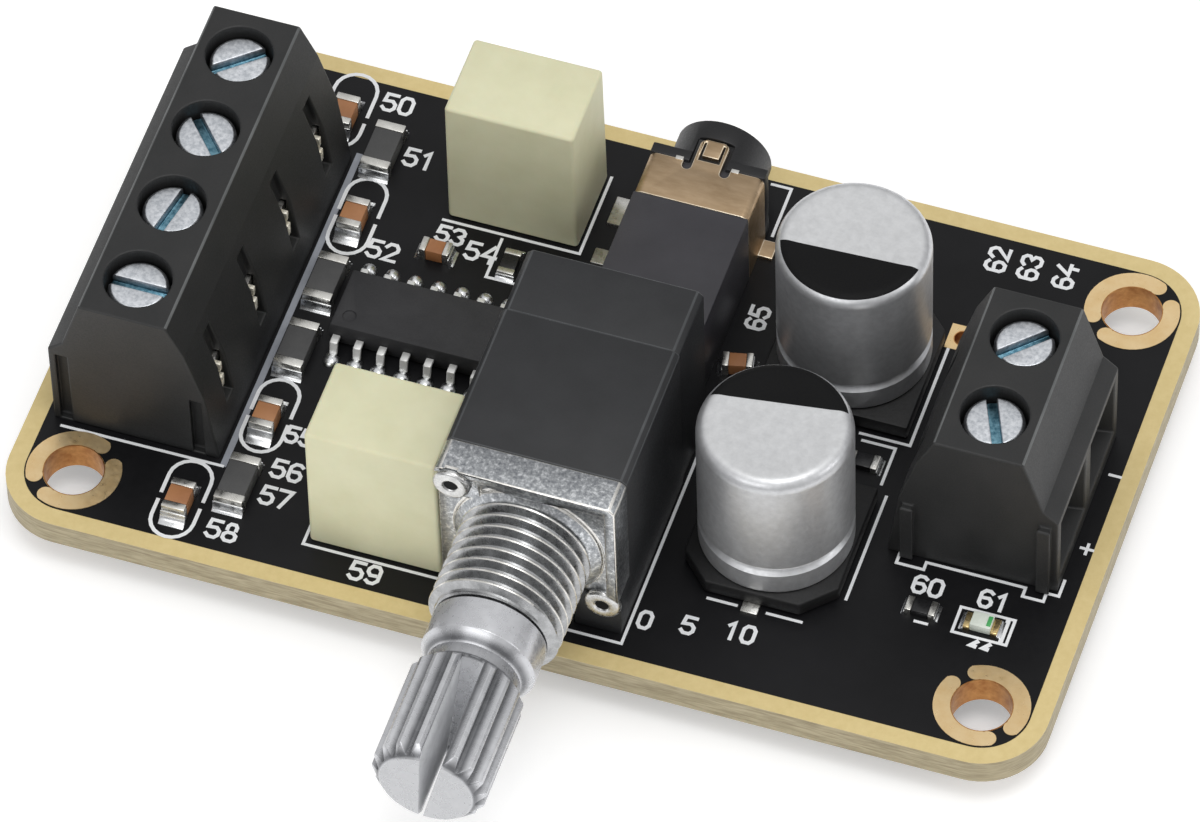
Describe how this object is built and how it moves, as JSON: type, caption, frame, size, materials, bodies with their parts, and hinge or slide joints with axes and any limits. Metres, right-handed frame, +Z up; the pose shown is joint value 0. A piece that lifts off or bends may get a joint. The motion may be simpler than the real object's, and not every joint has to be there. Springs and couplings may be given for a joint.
{
  "type": "audio amplifier board",
  "caption": "Small stereo audio amplifier board with screw terminals, a splined volume control, a round input jack and mounting holes at the corners.",
  "frame": {"origin": "centre of the four mounting holes, on the board's underside", "axes": "+X along the board's length towards the supply terminal, +Y across it towards the jack's mouth, +Z up out of the parts side"},
  "size_m": [0.0556, 0.0467, 0.0144],
  "materials": {
    "solder_mask": "black solder mask, light gloss",
    "gold_foil": "gold-plated copper foil",
    "terminal_plastic": "moulded nylon, fine grain",
    "zinc_screw": "bright zinc plate",
    "clamp_steel": "nickel plate",
    "tinned_contact": "bright tin",
    "die_cast_zinc": "grainy die-cast skin",
    "control_plastic": "moulded plastic, satin",
    "rivet_steel": "plated",
    "turned_aluminium": "turned and milled",
    "element_board": "phenolic board with carbon tracks",
    "rotor_plastic": "moulded",
    "spring_bronze": "plated spring bronze",
    "jack_plastic": "moulded plastic",
    "collar_brass": "rolled sheet, brassy tan",
    "film_case": "cream moulded case",
    "can_aluminium": "drawn can, satin",
    "can_base": "black moulded base",
    "chip_moulding": "moulded epoxy, matt",
    "brown_ceramic": "fired brown ceramic",
    "grey_ferrite": "sintered grey ferrite",
    "resistor_glaze": "black glaze",
    "led_epoxy": "clear epoxy over a pale base",
    "led_gold": "gold-plated ends"
  },
  "bodies": {
    "board": {"circuit_board": "solder_mask", "mounting_rings": "gold_foil", "header_pads": "gold_foil", "speaker_terminal_housing": "terminal_plastic", "speaker_terminal_contacts": "tinned_contact", "power_terminal_housing": "terminal_plastic", "power_terminal_contacts": "tinned_contact", "volume_bushing_plate": "die_cast_zinc", "volume_front_housing": "control_plastic", "volume_rear_housing": "control_plastic", "volume_rivets": "rivet_steel", "volume_elements": "element_board", "volume_terminals": "tinned_contact", "jack_housing": "jack_plastic", "jack_collar": "collar_brass", "jack_contacts": "tinned_contact", "film_capacitor_rear": "film_case", "film_capacitor_front": "film_case", "film_capacitor_leads": "tinned_contact", "electrolytic_can_rear": "can_aluminium", "electrolytic_can_front": "can_aluminium", "electrolytic_base_rear": "can_base", "electrolytic_base_front": "can_base", "electrolytic_tabs": "tinned_contact", "amplifier_chip": "chip_moulding", "amplifier_chip_leads": "tinned_contact", "ceramic_capacitors": "brown_ceramic", "ceramic_capacitor_ends": "tinned_contact", "ferrite_beads": "grey_ferrite", "ferrite_bead_ends": "tinned_contact", "resistors": "resistor_glaze", "resistor_ends": "tinned_contact", "indicator_led": "led_epoxy", "indicator_led_ends": "led_gold"},
    "volume": {"volume_shaft": "turned_aluminium", "volume_rotors": "rotor_plastic", "volume_wipers": "spring_bronze"},
    "speaker_screw_1": {"speaker_clamp_screw_1": "zinc_screw"},
    "speaker_cage_1": {"speaker_clamp_cage_1": "clamp_steel"},
    "speaker_screw_2": {"speaker_clamp_screw_2": "zinc_screw"},
    "speaker_cage_2": {"speaker_clamp_cage_2": "clamp_steel"},
    "speaker_screw_3": {"speaker_clamp_screw_3": "zinc_screw"},
    "speaker_cage_3": {"speaker_clamp_cage_3": "clamp_steel"},
    "speaker_screw_4": {"speaker_clamp_screw_4": "zinc_screw"},
    "speaker_cage_4": {"speaker_clamp_cage_4": "clamp_steel"},
    "power_screw_1": {"power_clamp_screw_1": "zinc_screw"},
    "power_cage_1": {"power_clamp_cage_1": "clamp_steel"},
    "power_screw_2": {"power_clamp_screw_2": "zinc_screw"},
    "power_cage_2": {"power_clamp_cage_2": "clamp_steel"}
  },
  "joints": [
    {"name": "volume_turn", "type": "hinge", "parent": "board", "child": "volume", "pos_m": [0.0009, -0.01475, 0.0078], "axis": [0, 1, 0], "range_deg": [-150, 150]},
    {"name": "speaker_screw_1_turn", "type": "hinge", "parent": "board", "child": "speaker_screw_1", "pos_m": [-0.0222, 0.00782, 0.0076], "axis": [0, 0, -1], "range_deg": [0, 1440]},
    {"name": "speaker_cage_1_lift", "type": "slide", "parent": "board", "child": "speaker_cage_1", "axis": [0, 0, 1], "range_m": [0, 0.002]},
    {"name": "speaker_screw_2_turn", "type": "hinge", "parent": "board", "child": "speaker_screw_2", "pos_m": [-0.0222, 0.00274, 0.0076], "axis": [0, 0, -1], "range_deg": [0, 1440]},
    {"name": "speaker_cage_2_lift", "type": "slide", "parent": "board", "child": "speaker_cage_2", "axis": [0, 0, 1], "range_m": [0, 0.002]},
    {"name": "speaker_screw_3_turn", "type": "hinge", "parent": "board", "child": "speaker_screw_3", "pos_m": [-0.0222, -0.00234, 0.0076], "axis": [0, 0, -1], "range_deg": [0, 1440]},
    {"name": "speaker_cage_3_lift", "type": "slide", "parent": "board", "child": "speaker_cage_3", "axis": [0, 0, 1], "range_m": [0, 0.002]},
    {"name": "speaker_screw_4_turn", "type": "hinge", "parent": "board", "child": "speaker_screw_4", "pos_m": [-0.0222, -0.00742, 0.0076], "axis": [0, 0, -1], "range_deg": [0, 1440]},
    {"name": "speaker_cage_4_lift", "type": "slide", "parent": "board", "child": "speaker_cage_4", "axis": [0, 0, 1], "range_m": [0, 0.002]},
    {"name": "power_screw_1_turn", "type": "hinge", "parent": "board", "child": "power_screw_1", "pos_m": [0.0216, -0.00254, 0.0076], "axis": [0, 0, -1], "range_deg": [0, 1440]},
    {"name": "power_cage_1_lift", "type": "slide", "parent": "board", "child": "power_cage_1", "axis": [0, 0, 1], "range_m": [0, 0.002]},
    {"name": "power_screw_2_turn", "type": "hinge", "parent": "board", "child": "power_screw_2", "pos_m": [0.0216, 0.00254, 0.0076], "axis": [0, 0, -1], "range_deg": [0, 1440]},
    {"name": "power_cage_2_lift", "type": "slide", "parent": "board", "child": "power_cage_2", "axis": [0, 0, 1], "range_m": [0, 0.002]}
  ],
  "couplings": [
    {"joint": "speaker_screw_1_turn", "follows": "speaker_cage_1_lift", "rad_per_m": 12566},
    {"joint": "speaker_screw_2_turn", "follows": "speaker_cage_2_lift", "rad_per_m": 12566},
    {"joint": "speaker_screw_3_turn", "follows": "speaker_cage_3_lift", "rad_per_m": 12566},
    {"joint": "speaker_screw_4_turn", "follows": "speaker_cage_4_lift", "rad_per_m": 12566},
    {"joint": "power_screw_1_turn", "follows": "power_cage_1_lift", "rad_per_m": 12566},
    {"joint": "power_screw_2_turn", "follows": "power_cage_2_lift", "rad_per_m": 12566}
  ]
}
